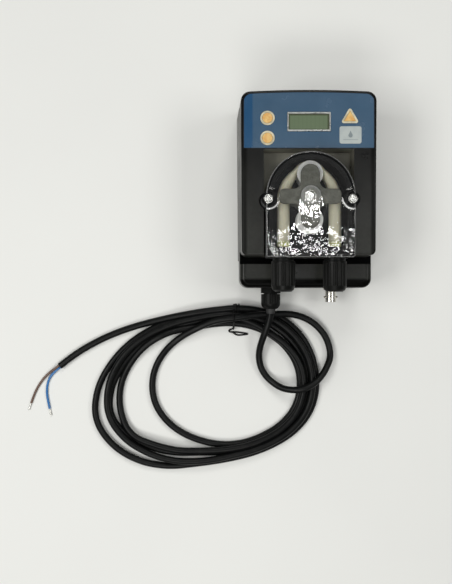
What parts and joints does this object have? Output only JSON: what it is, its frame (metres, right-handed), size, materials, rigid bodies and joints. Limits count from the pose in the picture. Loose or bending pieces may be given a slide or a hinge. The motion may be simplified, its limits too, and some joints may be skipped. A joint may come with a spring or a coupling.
{
  "type": "peristaltic dosing pump",
  "caption": "Wall-mount peristaltic dosing pump with a clear-covered roller head, display panel with keys, hose unions and a coiled mains lead.",
  "frame": {"origin": "centre of the flat back face, which goes against the wall (or lies on a table)", "axes": "+X to the right seen from the front, +Y towards the display end (up when it hangs on a wall), +Z out of the front"},
  "size_m": [0.3137, 0.3348, 0.1111],
  "materials": {
    "case_plastic": "satin moulded ABS, black",
    "gasket_rubber": "matt",
    "screw_steel": "zinc-plated",
    "stainless": "turned stainless steel",
    "label_blue": "printed polyester overlay, steel blue",
    "bezel_silver": "satin",
    "lcd_green": "olive-green display",
    "plate_white": "printed white field",
    "key_cream": "cream key surround",
    "key_orange": "orange key cap",
    "board_green": "glass-fibre circuit board",
    "component_black": "moulded electronic part",
    "transformer_yellow": "tape-wound transformer",
    "capacitor_blue": "sleeved capacitor",
    "terminal_green": "moulded terminal block",
    "motor_cast": "cast end cap",
    "motor_steel": "laminated steel",
    "winding_copper": "enamelled copper wire",
    "cover_clear": "clear moulded polycarbonate",
    "rotor_grey": "glass-filled nylon, dark grey",
    "roller_white": "turned acetal, white",
    "tube_cream": "pump tube, cream thermoplastic elastomer",
    "fitting_black": "moulded polypropylene, black",
    "bnc_nickel": "nickel-plated brass",
    "ptfe_white": "PTFE insulator",
    "contact_gold": "gold-plated contact",
    "cord_black": "black PVC sheath",
    "core_brown": "brown core insulation",
    "core_blue": "blue core insulation",
    "ferrule_tin": "tinned end"
  },
  "bodies": {
    "casing": {"back_shell": "case_plastic", "front_shell": "case_plastic", "case_gasket": "gasket_rubber", "case_screws": "screw_steel", "panel_label": "label_blue", "lcd_bezel": "bezel_silver", "lcd_module": "lcd_green", "display_board": "board_green", "board_screws": "screw_steel", "name_plate": "plate_white", "key_bezels": "key_cream", "key_switches": "component_black", "power_board": "board_green", "transformer": "transformer_yellow", "capacitors": "capacitor_blue", "terminal_block": "terminal_green", "terminal_screws": "screw_steel", "motor_front_cap": "motor_cast", "motor_stator": "motor_steel", "motor_windings": "winding_copper", "motor_rear_cap": "motor_cast", "motor_bearings": "stainless", "motor_screws": "screw_steel", "head_base": "fitting_black", "shaft_bush": "contact_gold", "shaft_seal": "gasket_rubber", "head_cover": "cover_clear", "cover_washers": "screw_steel", "cover_screws": "screw_steel", "pump_tube": "tube_cream", "inlet_connector": "fitting_black", "outlet_connector": "fitting_black", "inlet_nut": "fitting_black", "outlet_nut": "fitting_black", "gland_body": "fitting_black", "gland_nut": "fitting_black", "gland_seal": "gasket_rubber", "gland_locknut": "fitting_black", "bnc_body": "bnc_nickel", "bnc_insulator": "ptfe_white", "bnc_contact": "contact_gold", "bnc_nut": "bnc_nickel", "cord_lead": "cord_black", "cord_coil": "cord_black", "cord_tail": "cord_black", "core_brown": "core_brown", "core_blue": "core_blue", "core_ferrules": "ferrule_tin", "cord_tie": "cord_black"},
    "rotor": {"rotor_top_plate": "rotor_grey", "rotor_bottom_plate": "rotor_grey", "roller_axles": "stainless", "rotor_screw": "screw_steel", "drive_shaft": "stainless", "motor_core": "motor_steel"},
    "roller_a": {"roller_a": "roller_white"},
    "roller_b": {"roller_b": "roller_white"},
    "key_up": {"key_up": "key_orange"},
    "key_down": {"key_down": "key_orange"},
    "key_start": {"key_start": "key_orange"}
  },
  "joints": [
    {"name": "rotor_spin", "type": "hinge", "parent": "casing", "child": "rotor", "pos_m": [0, -0.0086, 0.09], "axis": [0, 0, 1], "continuous": true, "deforming": ["pump_tube"]},
    {"name": "roller_a_spin", "type": "hinge", "parent": "rotor", "child": "roller_a", "pos_m": [0, 0.0104, 0.09], "axis": [0, 0, 1], "continuous": true},
    {"name": "roller_b_spin", "type": "hinge", "parent": "rotor", "child": "roller_b", "pos_m": [0, -0.0276, 0.09], "axis": [0, 0, 1], "continuous": true},
    {"name": "key_up_press", "type": "slide", "parent": "casing", "child": "key_up", "axis": [0, 0, -1], "range_m": [0, 0.0006], "stiffness_N_per_m": 400, "springref_m": -0.0005},
    {"name": "key_down_press", "type": "slide", "parent": "casing", "child": "key_down", "axis": [0, 0, -1], "range_m": [0, 0.0006], "stiffness_N_per_m": 400, "springref_m": -0.0005},
    {"name": "key_start_press", "type": "slide", "parent": "casing", "child": "key_start", "axis": [0, 0, -1], "range_m": [0, 0.0006], "stiffness_N_per_m": 400, "springref_m": -0.0005}
  ],
  "couplings": [
    {"joint": "roller_a_spin", "follows": "rotor_spin", "ratio": -3.3171},
    {"joint": "roller_b_spin", "follows": "rotor_spin", "ratio": -3.3171}
  ]
}
